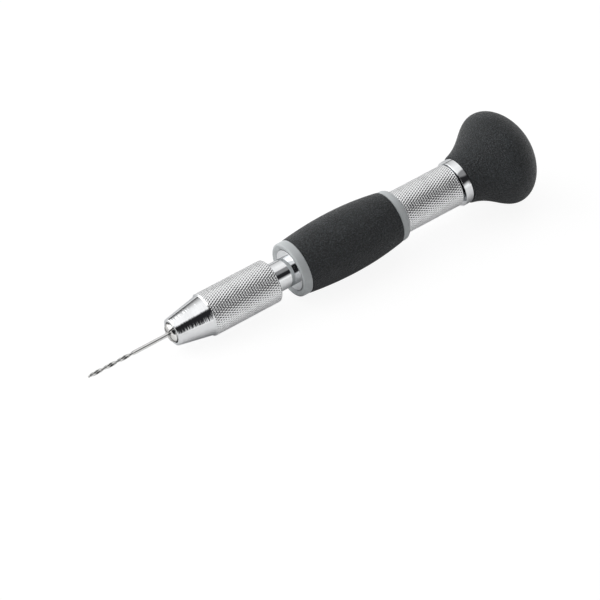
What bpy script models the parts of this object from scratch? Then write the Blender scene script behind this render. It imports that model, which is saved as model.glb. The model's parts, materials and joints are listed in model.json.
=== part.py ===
"""A pin vise: a small hand drill with a collet chuck, a rubber grip and a swivelling palm head.

The tool lies along X, with the drill towards -X and the palm head towards +X. Lengths along it are
stations, counted from the front face of the chuck cap. Blender units are metres.
"""

import math

import bmesh
import bpy
from mathutils import Vector
from mathutils.geometry import interpolate_bezier

mm = 0.001

# Fits: pieces pressed or moulded together, pieces that turn or slide, end faces that meet, and the
# free room at the end of a bore.
SEAT = 0.06 * mm
RUN = 0.10 * mm
BUTT = 0.08 * mm
END_ROOM = 0.4 * mm

# Twist drill.
DRILL_DIAMETER = 1.0 * mm
DRILL_LENGTH = 34.0 * mm
DRILL_OUTSIDE = 23.4 * mm
FLUTE_LENGTH = 13.0 * mm
FLUTE_RUN_OUT = 1.6 * mm
WEB_DIAMETER = 0.36 * mm
CHISEL_WIDTH = 0.10 * mm
FLUTE_STEEPNESS = 1.3
HELIX_ANGLE = math.radians(22.4)
DRILL_TURN = math.radians(20)
POINT_ANGLE = math.radians(118)

# Collet: a slotted jaw head with a coned nose and a taper, a thin spring neck and a tail in the spindle.
COLLET_OUTSIDE = 0.9 * mm
COLLET_FACE_DIAMETER = 3.0 * mm
COLLET_NOSE_LENGTH = 0.85 * mm
COLLET_TIP_DIAMETER = 5.1 * mm
COLLET_TIP_LENGTH = 2.4 * mm
COLLET_FACE_EDGE = 0.12 * mm
COLLET_TAPER_LENGTH = 3.6 * mm
COLLET_TAPER_ANGLE = math.radians(8)
COLLET_HEAD_LAND = 0.9 * mm
COLLET_NECK_LENGTH = 8.0 * mm
COLLET_NECK_DROP = 0.35 * mm
COLLET_NECK_WALL = 0.7 * mm
COLLET_TAIL_LENGTH = 6.0 * mm
COLLET_TAIL_DROP = 0.6 * mm
COLLET_SLOT_WIDTH = 0.32 * mm
COLLET_SLOT_STOP = 0.5 * mm
COLLET_SLOT_TURN = math.radians(24)
SAW_OVERRUN = 1.0 * mm

# Chuck cap: a polished cone, then a knurled sleeve that screws onto the spindle.
CAP_LENGTH = 28.4 * mm
CAP_WALL = 1.8 * mm
CAP_NOSE_WALL = 0.75 * mm
CAP_NOSE_EDGE = 0.35 * mm
CAP_NOSE_GAP = 0.15 * mm
CAP_CONE_LENGTH = 9.2 * mm
CAP_KNURL_STEP = 0.42 * mm
CAP_REAR_EDGE = 0.55 * mm
CAP_COUNTERBORE = 6.6 * mm

# Spindle: thread core, bright shank and the shoulder disc that closes the grip's front ring.
SPINDLE_WALL = 0.65 * mm
THREAD_DEPTH = 0.3 * mm
SHANK_STEP = 0.2 * mm
SHANK_VISIBLE = 5.1 * mm
SHOULDER_WIDTH = 1.65 * mm
SHOULDER_RECESS = 0.62 * mm
SHOULDER_THICKNESS = 1.93 * mm
TANG_DIAMETER = 8.0 * mm
TANG_LENGTH = 10.0 * mm

# Handle tube: plain under the grip, knurled behind it.
TUBE_WALL = 0.94 * mm
TUBE_STEP_HEIGHT = 0.6 * mm
TUBE_VISIBLE = 16.7 * mm
TUBE_EDGE = 0.35 * mm
TUBE_REAR_WALL = 12.0 * mm

# Grip: hard core with its dished front ring, rubber sleeve, rear ring.
CORE_WALL = 1.15 * mm
RING_LENGTH = 2.7 * mm
RING_STEP_HEIGHT = 0.89 * mm
RING_EDGE = 0.5 * mm
RING_DISH = 0.75 * mm
RING_HOLE_GAP = 0.14 * mm
RUBBER_LENGTH = 27.5 * mm
RUBBER_FRONT_WALL = 0.9 * mm
RUBBER_MIDDLE_WALL = 1.83 * mm
RUBBER_REAR_WALL = 0.58 * mm
RUBBER_WIDEST = 13.4 * mm
RUBBER_EDGE = 0.25 * mm
REAR_RING_LENGTH = 2.4 * mm
REAR_RING_WALL = 1.67 * mm
REAR_RING_EDGE = 1.3 * mm

# Swivel: slip washer, pin, bush and retaining ring.
WASHER_DIAMETER = 7.0 * mm
WASHER_THICKNESS = 0.2 * mm
PIN_DIAMETER = 4.0 * mm
PIN_IN_TUBE = 11.0 * mm
PIN_TAIL = 1.2 * mm
PIN_EDGE = 0.3 * mm
BUSH_WALL = 0.85 * mm
BUSH_REACH = 7.1 * mm
BUSH_FLANGE_THICKNESS = 0.8 * mm
BUSH_FLANGE_WIDTH = 0.75 * mm
CLIP_THICKNESS = 0.6 * mm
CLIP_WIDTH = 1.7 * mm
CLIP_GROOVE_DEPTH = 0.45 * mm
CLIP_TAB_GAP = 0.5 * mm
CLIP_TAB_HALF_ANGLE = math.radians(16)
CLIP_OPENING = math.radians(100)

# Palm head: rubber skin over a hard core, with a bright collar pressed onto the core's spigot. It is loose
# on its pin and leans over by its play.
HEAD_LEAN = math.radians(4)
COLLAR_DIAMETER = 12.2 * mm
COLLAR_LENGTH = 2.2 * mm
COLLAR_AHEAD = 1.2 * mm
COLLAR_LIP = 0.7 * mm
COLLAR_EDGE = 0.12 * mm
HEAD_CORE_WALL = 1.05 * mm
HEAD_SKIN = 1.8 * mm
HEAD_DIAMETER = 24.96 * mm
HEAD_WIDEST = 11.82 * mm
HEAD_LENGTH = 20.22 * mm
NECK_SLOPE = math.radians(13)
NECK_REACH = 6.33 * mm
RIM_FRONT_REACH = 3.76 * mm
RIM_REAR_REACH = 4.64 * mm
DOME_REACH = 5.95 * mm

# The frame's origin lies on the tool's axis, this far behind the cap's front face.
ORIGIN_STATION = 64.1 * mm

# Fineness of the facets: sides of round pieces, and points along rounded edges and curves.
OUTER_SIDES = 40
INNER_SIDES = 24
EDGE_STEPS = 3
BARREL_STEPS = 5
HEAD_OUTSIDE_STEPS = 9
HEAD_INSIDE_STEPS = 7
CLIP_STEPS = 28
DRILL_SECTION_POINTS = 16
DRILL_STEPS_PER_TURN = 22
DRILL_POINT_STEPS = 3
WELD = 0.001 * mm
SHARP_ANGLE = math.radians(32)

# Radii of the chuck, each built on the one inside it.
COLLET_TIP_RADIUS = COLLET_TIP_DIAMETER / 2
COLLET_HEAD_RADIUS = COLLET_TIP_RADIUS + COLLET_TAPER_LENGTH * math.tan(COLLET_TAPER_ANGLE)
COLLET_TAIL_RADIUS = COLLET_HEAD_RADIUS - COLLET_TAIL_DROP
COLLET_NECK_RADIUS = COLLET_TAIL_RADIUS - COLLET_NECK_DROP
SPINDLE_BORE = COLLET_TAIL_RADIUS + RUN
THREAD_CORE_RADIUS = SPINDLE_BORE + SPINDLE_WALL
THREAD_BORE = THREAD_CORE_RADIUS + THREAD_DEPTH
SHANK_RADIUS = THREAD_BORE + SHANK_STEP
CAP_REAR_BORE = SHANK_RADIUS + RUN
CAP_RADIUS = CAP_REAR_BORE + CAP_WALL
SHOULDER_RADIUS = SHANK_RADIUS + SHOULDER_WIDTH

# Radii of the handle, each built on the one inside it.
TANG_RADIUS = TANG_DIAMETER / 2
TUBE_BORE = TANG_RADIUS + SEAT
TUBE_GRIP_RADIUS = TUBE_BORE + TUBE_WALL
TUBE_RADIUS = TUBE_GRIP_RADIUS + TUBE_STEP_HEIGHT
GRIP_BORE = TUBE_GRIP_RADIUS + SEAT
CORE_RADIUS = GRIP_BORE + CORE_WALL
RING_RADIUS = CORE_RADIUS + RING_STEP_HEIGHT
RING_HOLE = SHOULDER_RADIUS + RING_HOLE_GAP
RUBBER_BORE = CORE_RADIUS + SEAT
REAR_RING_RADIUS = GRIP_BORE + REAR_RING_WALL

# Stations along the tool, from the chuck to the palm head.
COLLET_NOSE_REAR = COLLET_NOSE_LENGTH - COLLET_OUTSIDE
COLLET_TIP_REAR = COLLET_TIP_LENGTH - COLLET_OUTSIDE
COLLET_HEAD_FRONT = COLLET_TIP_REAR + COLLET_TAPER_LENGTH
COLLET_HEAD_REAR = COLLET_HEAD_FRONT + COLLET_HEAD_LAND
COLLET_TAIL_FRONT = COLLET_HEAD_REAR + COLLET_NECK_LENGTH
COLLET_TAIL_REAR = COLLET_TAIL_FRONT + COLLET_TAIL_LENGTH
CAP_BORE_REAR = CAP_LENGTH - CAP_COUNTERBORE
RING_FRONT = CAP_LENGTH + SHANK_VISIBLE
SHOULDER_FRONT = RING_FRONT + SHOULDER_RECESS
SHOULDER_REAR = SHOULDER_FRONT + SHOULDER_THICKNESS
RUBBER_FRONT = RING_FRONT + RING_LENGTH
RUBBER_REAR = RUBBER_FRONT + RUBBER_LENGTH
REAR_RING_FRONT = RUBBER_REAR + BUTT
REAR_RING_REAR = REAR_RING_FRONT + REAR_RING_LENGTH
TUBE_STEP = REAR_RING_REAR + BUTT
TUBE_REAR = TUBE_STEP + TUBE_VISIBLE
WASHER_FRONT = TUBE_REAR + SEAT
WASHER_REAR = WASHER_FRONT + WASHER_THICKNESS

# The head leans until the edge of its collar meets the end of the tube. Stations in the head are counted
# from the pivot.
COLLAR_RADIUS = COLLAR_DIAMETER / 2
COLLAR_SWING = COLLAR_RADIUS * math.sin(HEAD_LEAN)
HEAD_PIVOT = TUBE_REAR + BUTT + COLLAR_SWING + COLLAR_AHEAD * math.cos(HEAD_LEAN)
COLLAR_REAR = COLLAR_LENGTH - COLLAR_AHEAD
HEAD_FRONT = COLLAR_REAR + BUTT

# Swivel sizes. A leaning bore has to clear the straight pin along its whole length.
PIN_RADIUS = PIN_DIAMETER / 2
PIN_HOLE = PIN_RADIUS + SEAT
GROOVE_RADIUS = PIN_RADIUS - CLIP_GROOVE_DEPTH
CLIP_RADIUS = PIN_RADIUS + CLIP_WIDTH
BUSH_FLANGE_FRONT = BUSH_REACH - BUSH_FLANGE_THICKNESS
BUSH_BORE = PIN_RADIUS / math.cos(HEAD_LEAN) + BUSH_REACH * math.tan(HEAD_LEAN) + RUN
BUSH_RADIUS = BUSH_BORE + BUSH_WALL
BUSH_SWING = BUSH_RADIUS * math.sin(HEAD_LEAN)
BUSH_FRONT = (WASHER_REAR + RUN + BUSH_SWING - HEAD_PIVOT) / math.cos(HEAD_LEAN)
BUSH_FLANGE_RADIUS = BUSH_RADIUS + BUSH_FLANGE_WIDTH
CLIP_LEAN_ROOM = CLIP_RADIUS * math.sin(HEAD_LEAN) + RUN
CLIP_FRONT = HEAD_PIVOT + BUSH_REACH * math.cos(HEAD_LEAN) + CLIP_LEAN_ROOM
CLIP_REAR = CLIP_FRONT + CLIP_THICKNESS
PIN_REAR = CLIP_REAR + PIN_TAIL
CLIP_POCKET = CLIP_RADIUS + (PIN_REAR - HEAD_PIVOT) * math.tan(HEAD_LEAN) + RUN
HEAD_BORE = BUSH_RADIUS + RUN
HEAD_POCKET = max(CLIP_POCKET, BUSH_FLANGE_RADIUS) + RUN
SPIGOT_RADIUS = HEAD_BORE + HEAD_CORE_WALL
COLLAR_BORE = SPIGOT_RADIUS + SEAT
NECK_RADIUS = COLLAR_BORE + HEAD_SKIN
WASHER_SWAY = (HEAD_PIVOT - WASHER_FRONT) * math.tan(HEAD_LEAN)
COLLAR_HOLE = max(WASHER_DIAMETER / 2 + WASHER_SWAY, BUSH_RADIUS) + RUN


def finish(name, colour, roughness, metallic):
    material = bpy.data.materials.new(name)
    material.use_nodes = True
    shader = material.node_tree.nodes["Principled BSDF"]
    shader.inputs["Base Color"].default_value = (*colour, 1.0)
    shader.inputs["Roughness"].default_value = roughness
    shader.inputs["Metallic"].default_value = metallic
    return material


def empty(name, parent=None):
    marker = bpy.data.objects.new(name, None)
    marker.parent = parent
    bpy.context.scene.collection.objects.link(marker)
    return marker


def place(name, bm, material, parent):
    """Turn a finished bmesh into a smooth-shaded object under its parent empty."""
    bmesh.ops.recalc_face_normals(bm, faces=bm.faces)
    mesh = bpy.data.meshes.new(name)
    bm.to_mesh(mesh)
    bm.free()
    mesh.materials.append(material)
    mesh.shade_smooth()
    mesh.set_sharp_from_angle(angle=SHARP_ANGLE)
    piece = bpy.data.objects.new(name, mesh)
    piece.parent = parent
    bpy.context.scene.collection.objects.link(piece)
    return piece


def rounded(*corners):
    """Outline points through (station, radius) corners. A third value rounds that corner off."""
    most_of_an_edge = 0.48
    points = []
    for index, corner in enumerate(corners):
        here = Vector(corner[:2])
        if len(corner) == 2:
            points.append(here)
            continue
        back = Vector(corners[index - 1][:2]) - here
        on = Vector(corners[(index + 1) % len(corners)][:2]) - here
        half_angle = back.angle(on) / 2
        shorter = min(back.length, on.length)
        reach = min(corner[2] / math.tan(half_angle), most_of_an_edge * shorter)
        radius = reach * math.tan(half_angle)
        middle = (back.normalized() + on.normalized()).normalized()
        centre = here + middle * radius / math.sin(half_angle)
        first = here + back.normalized() * reach - centre
        last = here + on.normalized() * reach - centre
        for step in range(EDGE_STEPS + 1):
            points.append(centre + radius * first.slerp(last, step / EDGE_STEPS))
    return points


def turned(name, outline, sides, material, parent):
    """Spin an outline about the X axis. It is closed unless it starts and ends on the axis."""
    bm = bmesh.new()
    half_step = math.pi / sides
    across = math.sin(half_step)
    up = math.cos(half_step)
    corners = [bm.verts.new((x, r * across, r * up)) for x, r in outline]
    edges = [bm.edges.new(pair) for pair in zip(corners, corners[1:])]
    if max(outline[0][1], outline[-1][1]) > WELD:
        edges.append(bm.edges.new((corners[-1], corners[0])))
    bmesh.ops.spin(
        bm,
        geom=corners + edges,
        cent=(0, 0, 0),
        axis=(1, 0, 0),
        angle=math.tau,
        steps=sides,
        use_merge=True,
    )
    bmesh.ops.remove_doubles(bm, verts=bm.verts, dist=WELD)
    return place(name, bm, material, parent)


def joined_sections(bm, sections):
    """Faces between neighbouring closed sections of as many points, with both ends filled."""
    for section, following in zip(sections, sections[1:]):
        for index in range(len(section)):
            beside = (index + 1) % len(section)
            bm.faces.new((section[index], section[beside], following[beside], following[index]))
    bm.faces.new(sections[0])
    bm.faces.new(sections[-1])


def drill_bit(parent):
    """Two-flute twist drill: a twisted section, lofted from its ground point to the round shank."""
    radius = DRILL_DIAMETER / 2
    web = WEB_DIAMETER / 2
    lead = math.tau * radius / math.tan(HELIX_ANGLE)
    point_length = radius / math.tan(POINT_ANGLE / 2)
    fluted = FLUTE_LENGTH - point_length
    steps = round(fluted / lead * DRILL_STEPS_PER_TURN)
    distances = [point_length * step / DRILL_POINT_STEPS for step in range(DRILL_POINT_STEPS)]
    distances += [point_length + fluted * step / steps for step in range(steps + 1)]
    distances.append(DRILL_LENGTH)
    bm = bmesh.new()
    sections = []
    for distance in distances:
        depth = min(1.0, max(0.0, (FLUTE_LENGTH - distance) / FLUTE_RUN_OUT))
        floor = radius - (radius - web) * depth
        ground = CHISEL_WIDTH / 2 + distance * math.tan(POINT_ANGLE / 2)
        twist = DRILL_TURN + math.tau * min(distance, FLUTE_LENGTH) / lead
        section = []
        for index in range(DRILL_SECTION_POINTS):
            angle = math.tau * index / DRILL_SECTION_POINTS
            flute = floor + (radius - floor) * FLUTE_STEEPNESS * math.sin(angle) ** 2
            reach = min(radius, flute, ground)
            across = reach * math.cos(angle + twist)
            up = reach * math.sin(angle + twist)
            section.append(bm.verts.new((distance - DRILL_OUTSIDE, across, up)))
        sections.append(section)
    joined_sections(bm, sections)
    return place("drill_bit", bm, finish("drill_steel", (0.62, 0.62, 0.61), 0.25, 1.0), parent)


def collet(parent):
    """Spring-steel collet: turned with its nose and taper, bored for the drill, sawn into four jaws."""
    bore = DRILL_DIAMETER / 2 + SEAT
    relief = COLLET_NECK_RADIUS - COLLET_NECK_WALL
    relief_front = DRILL_LENGTH - DRILL_OUTSIDE + END_ROOM
    piece = turned(
        "collet",
        rounded(
            (-COLLET_OUTSIDE, bore),
            (-COLLET_OUTSIDE, COLLET_FACE_DIAMETER / 2, COLLET_FACE_EDGE),
            (COLLET_NOSE_REAR, COLLET_TIP_RADIUS),
            (COLLET_TIP_REAR, COLLET_TIP_RADIUS),
            (COLLET_HEAD_FRONT, COLLET_HEAD_RADIUS),
            (COLLET_HEAD_REAR, COLLET_HEAD_RADIUS),
            (COLLET_HEAD_REAR, COLLET_NECK_RADIUS),
            (COLLET_TAIL_FRONT, COLLET_NECK_RADIUS),
            (COLLET_TAIL_FRONT, COLLET_TAIL_RADIUS),
            (COLLET_TAIL_REAR, COLLET_TAIL_RADIUS),
            (COLLET_TAIL_REAR, relief),
            (relief_front, relief),
            (relief_front, bore),
        ),
        INNER_SIDES,
        finish("collet_steel", (0.70, 0.68, 0.64), 0.28, 1.0),
        parent,
    )
    slot_front = -COLLET_OUTSIDE - SAW_OVERRUN
    slot_rear = COLLET_TAIL_FRONT - COLLET_SLOT_STOP
    saw_width = 2 * (COLLET_HEAD_RADIUS + SAW_OVERRUN)
    for slot in range(2):
        bm = bmesh.new()
        bmesh.ops.create_cube(bm, size=1.0)
        saw_size = (slot_rear - slot_front, saw_width, COLLET_SLOT_WIDTH)
        bmesh.ops.scale(bm, vec=saw_size, verts=bm.verts)
        saw = place(f"collet_saw_{slot}", bm, piece.data.materials[0], piece)
        saw.location.x = (slot_front + slot_rear) / 2
        saw.rotation_euler.x = COLLET_SLOT_TURN + slot * math.pi / 2
        saw.hide_render = True
        saw.display_type = "WIRE"
        cut = piece.modifiers.new(f"slot_{slot}", "BOOLEAN")
        cut.operation = "DIFFERENCE"
        cut.object = saw
    return piece


def chuck_cap(parent):
    """Chromed cap: cone outside, cone inside for the collet, threaded bore and counterbore behind."""
    hole = COLLET_TIP_RADIUS + CAP_NOSE_GAP
    cone_gap = CAP_NOSE_GAP / math.cos(COLLET_TAPER_ANGLE)
    cone_rise = THREAD_BORE - COLLET_TIP_RADIUS - cone_gap
    cone_rear = COLLET_TIP_REAR + cone_rise / math.tan(COLLET_TAPER_ANGLE)
    return turned(
        "chuck_cap",
        rounded(
            (0, hole),
            (0, hole + CAP_NOSE_WALL, CAP_NOSE_EDGE),
            (CAP_CONE_LENGTH, CAP_RADIUS - CAP_KNURL_STEP),
            (CAP_CONE_LENGTH + CAP_KNURL_STEP, CAP_RADIUS),
            (CAP_LENGTH, CAP_RADIUS, CAP_REAR_EDGE),
            (CAP_LENGTH, CAP_REAR_BORE),
            (CAP_BORE_REAR, CAP_REAR_BORE),
            (CAP_BORE_REAR, THREAD_BORE),
            (cone_rear, THREAD_BORE),
            (COLLET_TIP_REAR, hole),
        ),
        OUTER_SIDES,
        finish("chuck_chrome", (0.82, 0.83, 0.84), 0.14, 1.0),
        parent,
    )


def spindle(parent):
    """Chromed spindle: bored for the collet's tail, shouldered against the grip, tang in the tube."""
    thread_front = COLLET_HEAD_REAR + END_ROOM
    shank_front = CAP_BORE_REAR + END_ROOM
    bore_floor = COLLET_TAIL_REAR + END_ROOM
    return turned(
        "spindle",
        rounded(
            (bore_floor, 0),
            (bore_floor, SPINDLE_BORE),
            (thread_front, SPINDLE_BORE),
            (thread_front, THREAD_CORE_RADIUS),
            (shank_front, THREAD_CORE_RADIUS),
            (shank_front, SHANK_RADIUS),
            (SHOULDER_FRONT, SHANK_RADIUS),
            (SHOULDER_FRONT, SHOULDER_RADIUS),
            (SHOULDER_REAR, SHOULDER_RADIUS),
            (SHOULDER_REAR, TANG_RADIUS),
            (SHOULDER_REAR + TANG_LENGTH, TANG_RADIUS),
            (SHOULDER_REAR + TANG_LENGTH, 0),
        ),
        OUTER_SIDES,
        finish("spindle_chrome", (0.82, 0.83, 0.84), 0.12, 1.0),
        parent,
    )


def handle_tube(parent):
    """Chromed tube: takes the tang in front and the pivot pin in its thick rear wall."""
    front = SHOULDER_REAR + BUTT
    rear_wall = TUBE_REAR - TUBE_REAR_WALL
    return turned(
        "handle_tube",
        rounded(
            (front, TUBE_BORE),
            (front, TUBE_GRIP_RADIUS),
            (TUBE_STEP, TUBE_GRIP_RADIUS),
            (TUBE_STEP, TUBE_RADIUS, TUBE_EDGE),
            (TUBE_REAR, TUBE_RADIUS, TUBE_EDGE),
            (TUBE_REAR, PIN_HOLE),
            (rear_wall, PIN_HOLE),
            (rear_wall, TUBE_BORE),
        ),
        OUTER_SIDES,
        finish("tube_chrome", (0.80, 0.81, 0.82), 0.18, 1.0),
        parent,
    )


def grip_core(parent):
    """Hard plastic core of the grip. Its front ends in a ring that is dished towards the spindle's shoulder."""
    step = SHOULDER_REAR + BUTT
    return turned(
        "grip_core",
        rounded(
            (RING_FRONT + RING_DISH, RING_HOLE),
            (RING_FRONT, RING_RADIUS, RING_EDGE),
            (RUBBER_FRONT - BUTT, RING_RADIUS),
            (RUBBER_FRONT - BUTT, CORE_RADIUS),
            (RUBBER_REAR, CORE_RADIUS),
            (RUBBER_REAR, GRIP_BORE),
            (step, GRIP_BORE),
            (step, RING_HOLE),
        ),
        OUTER_SIDES,
        finish("grip_grey_plastic", (0.42, 0.43, 0.44), 0.42, 0.0),
        parent,
    )


def grip_sleeve(parent):
    """Rubber sleeve: a barrel that falls away from its widest ring along a parabola to each end."""
    widest = RUBBER_FRONT + RUBBER_WIDEST
    barrel = []
    for step in range(1, 2 * BARREL_STEPS):
        share = step / BARREL_STEPS - 1
        length = RUBBER_WIDEST
        fall = RUBBER_MIDDLE_WALL - RUBBER_FRONT_WALL
        if share > 0:
            length = RUBBER_LENGTH - RUBBER_WIDEST
            fall = RUBBER_MIDDLE_WALL - RUBBER_REAR_WALL
        wall = RUBBER_MIDDLE_WALL - fall * share * share
        barrel.append((widest + share * length, RUBBER_BORE + wall))
    return turned(
        "grip_sleeve",
        rounded(
            (RUBBER_FRONT, RUBBER_BORE),
            (RUBBER_FRONT, RUBBER_BORE + RUBBER_FRONT_WALL, RUBBER_EDGE),
            *barrel,
            (RUBBER_REAR, RUBBER_BORE + RUBBER_REAR_WALL, RUBBER_EDGE),
            (RUBBER_REAR, RUBBER_BORE),
        ),
        OUTER_SIDES,
        finish("grip_rubber", (0.030, 0.031, 0.033), 0.72, 0.0),
        parent,
    )


def grip_rear_ring(parent):
    """Hard plastic ring that closes the grip behind, against the step of the tube."""
    return turned(
        "grip_rear_ring",
        rounded(
            (REAR_RING_FRONT, GRIP_BORE),
            (REAR_RING_FRONT, REAR_RING_RADIUS),
            (REAR_RING_REAR, REAR_RING_RADIUS, REAR_RING_EDGE),
            (REAR_RING_REAR, GRIP_BORE),
        ),
        OUTER_SIDES,
        finish("rear_ring_grey_plastic", (0.40, 0.41, 0.42), 0.42, 0.0),
        parent,
    )


def swivel_collar(parent):
    """Bright collar on the palm head's spigot. Its lip covers the end of the spigot."""
    lip_rear = COLLAR_LIP - COLLAR_AHEAD
    return turned(
        "swivel_collar",
        rounded(
            (-COLLAR_AHEAD, COLLAR_HOLE),
            (-COLLAR_AHEAD, COLLAR_RADIUS, COLLAR_EDGE),
            (COLLAR_REAR, COLLAR_RADIUS, COLLAR_EDGE),
            (COLLAR_REAR, COLLAR_BORE),
            (lip_rear, COLLAR_BORE),
            (lip_rear, COLLAR_HOLE),
        ),
        OUTER_SIDES,
        finish("collar_chrome", (0.82, 0.83, 0.84), 0.10, 1.0),
        parent,
    )


def spacer_washer(parent):
    """Thin slip washer on the pin, between the end of the tube and the palm head's bush."""
    return turned(
        "spacer_washer",
        rounded(
            (WASHER_FRONT, PIN_HOLE),
            (WASHER_FRONT, WASHER_DIAMETER / 2),
            (WASHER_REAR, WASHER_DIAMETER / 2),
            (WASHER_REAR, PIN_HOLE),
        ),
        INNER_SIDES,
        finish("washer_nylon", (0.05, 0.05, 0.05), 0.45, 0.0),
        parent,
    )


def pivot_pin(parent):
    """Steel pin that the head turns on: pressed into the tube, grooved for the retaining ring."""
    front = TUBE_REAR - PIN_IN_TUBE
    groove_front = CLIP_FRONT - SEAT
    groove_rear = CLIP_REAR + SEAT
    return turned(
        "pivot_pin",
        rounded(
            (front, 0),
            (front, PIN_RADIUS, PIN_EDGE),
            (groove_front, PIN_RADIUS),
            (groove_front, GROOVE_RADIUS),
            (groove_rear, GROOVE_RADIUS),
            (groove_rear, PIN_RADIUS),
            (PIN_REAR, PIN_RADIUS, PIN_EDGE),
            (PIN_REAR, 0),
        ),
        INNER_SIDES,
        finish("pin_steel", (0.60, 0.60, 0.60), 0.30, 1.0),
        parent,
    )


def retaining_ring(parent):
    """Spring-steel ring with three inner tabs, pushed sideways into the pin's groove."""
    half_arc = math.pi - CLIP_OPENING / 2
    end_tab = half_arc - CLIP_TAB_HALF_ANGLE
    bm = bmesh.new()
    sections = []
    for step in range(CLIP_STEPS + 1):
        angle = half_arc * (2 * step / CLIP_STEPS - 1)
        inner = PIN_RADIUS + CLIP_TAB_GAP
        if min(abs(angle), abs(abs(angle) - end_tab)) < CLIP_TAB_HALF_ANGLE:
            inner = GROOVE_RADIUS + SEAT
        section = []
        for station, radius in (
            (CLIP_FRONT, inner),
            (CLIP_FRONT, CLIP_RADIUS),
            (CLIP_REAR, CLIP_RADIUS),
            (CLIP_REAR, inner),
        ):
            spot = (station, radius * math.cos(angle), radius * math.sin(angle))
            section.append(bm.verts.new(spot))
        sections.append(section)
    joined_sections(bm, sections)
    return place("retaining_ring", bm, finish("spring_steel", (0.22, 0.22, 0.23), 0.35, 1.0), parent)


def swivel_bush(parent):
    """Loose flanged bush between the pin and the head. Its bore lets the head lean on the pin."""
    return turned(
        "swivel_bush",
        rounded(
            (BUSH_FRONT, BUSH_BORE),
            (BUSH_FRONT, BUSH_RADIUS),
            (BUSH_FLANGE_FRONT, BUSH_RADIUS),
            (BUSH_FLANGE_FRONT, BUSH_FLANGE_RADIUS),
            (BUSH_REACH, BUSH_FLANGE_RADIUS),
            (BUSH_REACH, BUSH_BORE),
        ),
        INNER_SIDES,
        finish("bush_acetal", (0.75, 0.74, 0.70), 0.40, 0.0),
        parent,
    )


def head_curve(steps):
    """The head's outside, from the neck over the rim to the pole, counted from the pivot."""
    neck = Vector((HEAD_FRONT, NECK_RADIUS))
    rim = Vector((HEAD_FRONT + HEAD_WIDEST, HEAD_DIAMETER / 2))
    pole = Vector((HEAD_FRONT + HEAD_LENGTH, 0))
    along = Vector((1, 0))
    neck_handle = neck + NECK_REACH * Vector((math.cos(NECK_SLOPE), math.sin(NECK_SLOPE)))
    pole_handle = pole + Vector((0, DOME_REACH))
    flare = interpolate_bezier(neck, neck_handle, rim - RIM_FRONT_REACH * along, rim, steps)
    dome = interpolate_bezier(rim, rim + RIM_REAR_REACH * along, pole_handle, pole, steps)
    return [point.to_2d() for point in flare + dome[1:]]


def set_in(curve, depth):
    """The curve moved inwards along its normals by a wall's depth, from a square front face on."""
    inside = []
    for index, point in enumerate(curve):
        before = curve[max(index - 1, 0)]
        after = curve[min(index + 1, len(curve) - 1)]
        run = (after - before).normalized()
        inside.append(point + depth * Vector((run.y, -run.x)))
    inside[0] = Vector((curve[0].x, curve[0].y - depth))
    inside[-1] = Vector((curve[-1].x - depth, 0))
    return inside


def palm_skin(parent):
    """Soft rubber skin of the palm head, moulded over its core and open at the neck."""
    outside = head_curve(HEAD_OUTSIDE_STEPS)
    inside = set_in(head_curve(HEAD_INSIDE_STEPS), HEAD_SKIN)
    return turned(
        "palm_skin",
        inside[::-1] + outside,
        OUTER_SIDES,
        finish("palm_rubber", (0.030, 0.031, 0.033), 0.75, 0.0),
        parent,
    )


def palm_core(parent):
    """Hard core of the palm head: a spigot for the collar, bored for the bush, with a pocket behind."""
    rim = HEAD_FRONT + HEAD_WIDEST
    spigot_front = COLLAR_LIP - COLLAR_AHEAD + BUTT
    outside = [Vector((spigot_front, SPIGOT_RADIUS))]
    for point in set_in(head_curve(HEAD_INSIDE_STEPS), HEAD_SKIN + SEAT):
        if point.x < rim or point.y > HEAD_POCKET + HEAD_CORE_WALL:
            outside.append(point)
    seat = BUSH_FLANGE_FRONT - BUTT
    bored = [
        Vector((outside[-1].x, HEAD_POCKET)),
        Vector((seat, HEAD_POCKET)),
        Vector((seat, HEAD_BORE)),
        Vector((spigot_front, HEAD_BORE)),
    ]
    return turned(
        "palm_core",
        outside + bored,
        INNER_SIDES,
        finish("palm_core_plastic", (0.10, 0.10, 0.11), 0.5, 0.0),
        parent,
    )


for leftover in list(bpy.data.objects):
    bpy.data.objects.remove(leftover)

tool_axis = empty("tool_axis")
tool_axis.location.x = -ORIGIN_STATION
head_axis = empty("head_axis", tool_axis)
head_axis.location.x = HEAD_PIVOT
head_axis.rotation_euler.y = -HEAD_LEAN

for make in (
    drill_bit,
    collet,
    chuck_cap,
    spindle,
    handle_tube,
    grip_core,
    grip_sleeve,
    grip_rear_ring,
    spacer_washer,
    pivot_pin,
    retaining_ring,
):
    make(tool_axis)

for make in (swivel_bush, palm_core, swivel_collar, palm_skin):
    make(head_axis)
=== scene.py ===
import json
import math

import bmesh
import bpy
from mathutils import Matrix, Vector
from mathutils.geometry import interpolate_bezier

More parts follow.
